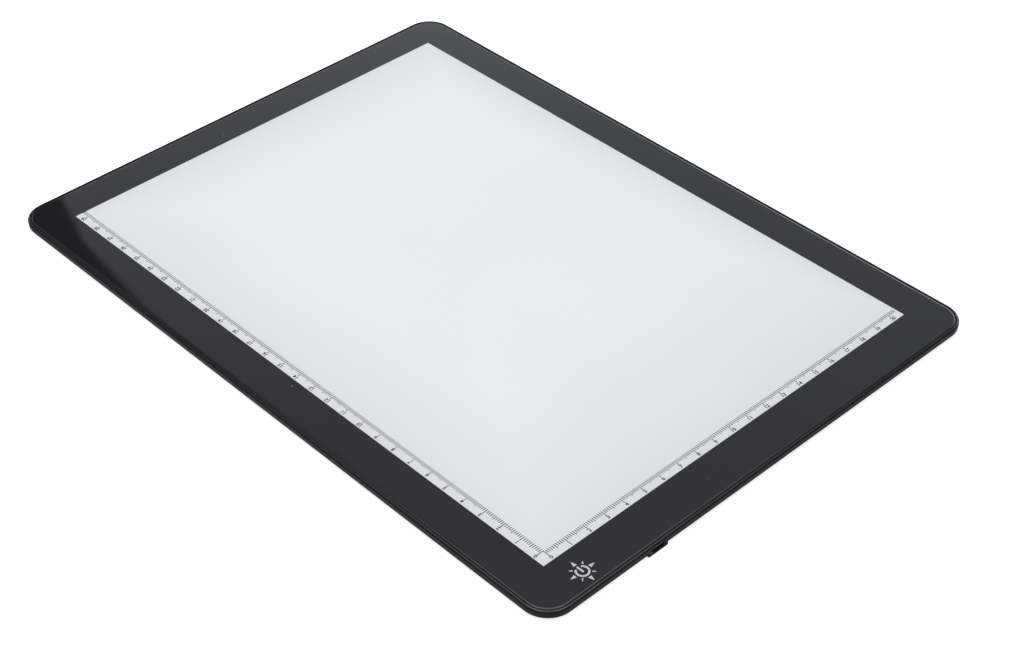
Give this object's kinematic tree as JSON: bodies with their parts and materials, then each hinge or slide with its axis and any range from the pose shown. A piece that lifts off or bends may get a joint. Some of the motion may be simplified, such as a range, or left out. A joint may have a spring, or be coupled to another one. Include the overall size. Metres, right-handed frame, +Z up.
{
  "type": "led tracing pad",
  "caption": "Thin edge-lit pad for tracing drawings: a black-bordered acrylic sheet with a white A4 window, flush in a shallow moulded tray with a USB inlet and rubber feet.",
  "frame": {"origin": "centre of the footprint, in the plane that the rubber feet stand on", "axes": "+Z up out of the window; +Y along the long side, away from the short edge with the touch key and the USB inlet; +X to the right as seen from that edge"},
  "size_m": [0.247, 0.338, 0.0055],
  "materials": {
    "black_abs": "satin",
    "clear_acrylic": "polished",
    "black_ink": "gloss",
    "white_film": "satin",
    "white_tape": "matte",
    "board_white": "satin",
    "board_green": "satin",
    "led_white": "satin",
    "plated_steel": "satin",
    "gold_plate": "satin",
    "black_mould": "matte",
    "capacitor_ceramic": "satin",
    "resistor_glaze": "satin",
    "conductive_foam": "matte",
    "black_rubber": "matte",
    "red_insulation": "satin",
    "black_insulation": "satin"
  },
  "bodies": {
    "root": {"rear_cover": "black_abs", "front_panel": "clear_acrylic", "border_mask": "black_ink", "panel_tape": "white_tape", "diffuser_film": "white_film", "light_guide_plate": "clear_acrylic", "reflector_film": "white_film", "edge_reflector_front": "white_tape", "edge_reflector_rear": "white_tape", "edge_reflector_right": "white_tape", "led_board": "board_white", "led_board_tape": "white_tape", "led_01": "led_white", "led_02": "led_white", "led_03": "led_white", "led_04": "led_white", "led_05": "led_white", "led_06": "led_white", "led_07": "led_white", "led_08": "led_white", "led_09": "led_white", "led_10": "led_white", "led_11": "led_white", "led_12": "led_white", "led_13": "led_white", "led_14": "led_white", "led_15": "led_white", "led_16": "led_white", "led_17": "led_white", "led_18": "led_white", "led_19": "led_white", "led_20": "led_white", "led_21": "led_white", "led_22": "led_white", "led_23": "led_white", "led_24": "led_white", "led_lead_positive": "red_insulation", "led_lead_negative": "black_insulation", "control_board": "board_green", "touch_controller_ic": "black_mould", "led_driver_mosfet": "black_mould", "input_capacitor": "capacitor_ceramic", "output_capacitor": "capacitor_ceramic", "limit_resistor_1": "resistor_glaze", "limit_resistor_2": "resistor_glaze", "limit_resistor_3": "resistor_glaze", "touch_foam": "conductive_foam", "usb_socket_shell": "plated_steel", "usb_socket_tongue": "black_mould", "usb_contact_1": "gold_plate", "usb_contact_2": "gold_plate", "usb_contact_3": "gold_plate", "usb_contact_4": "gold_plate", "usb_contact_5": "gold_plate", "foot_front_left": "black_rubber", "foot_front_right": "black_rubber", "foot_rear_left": "black_rubber", "foot_rear_right": "black_rubber"}
  },
  "joints": []
}
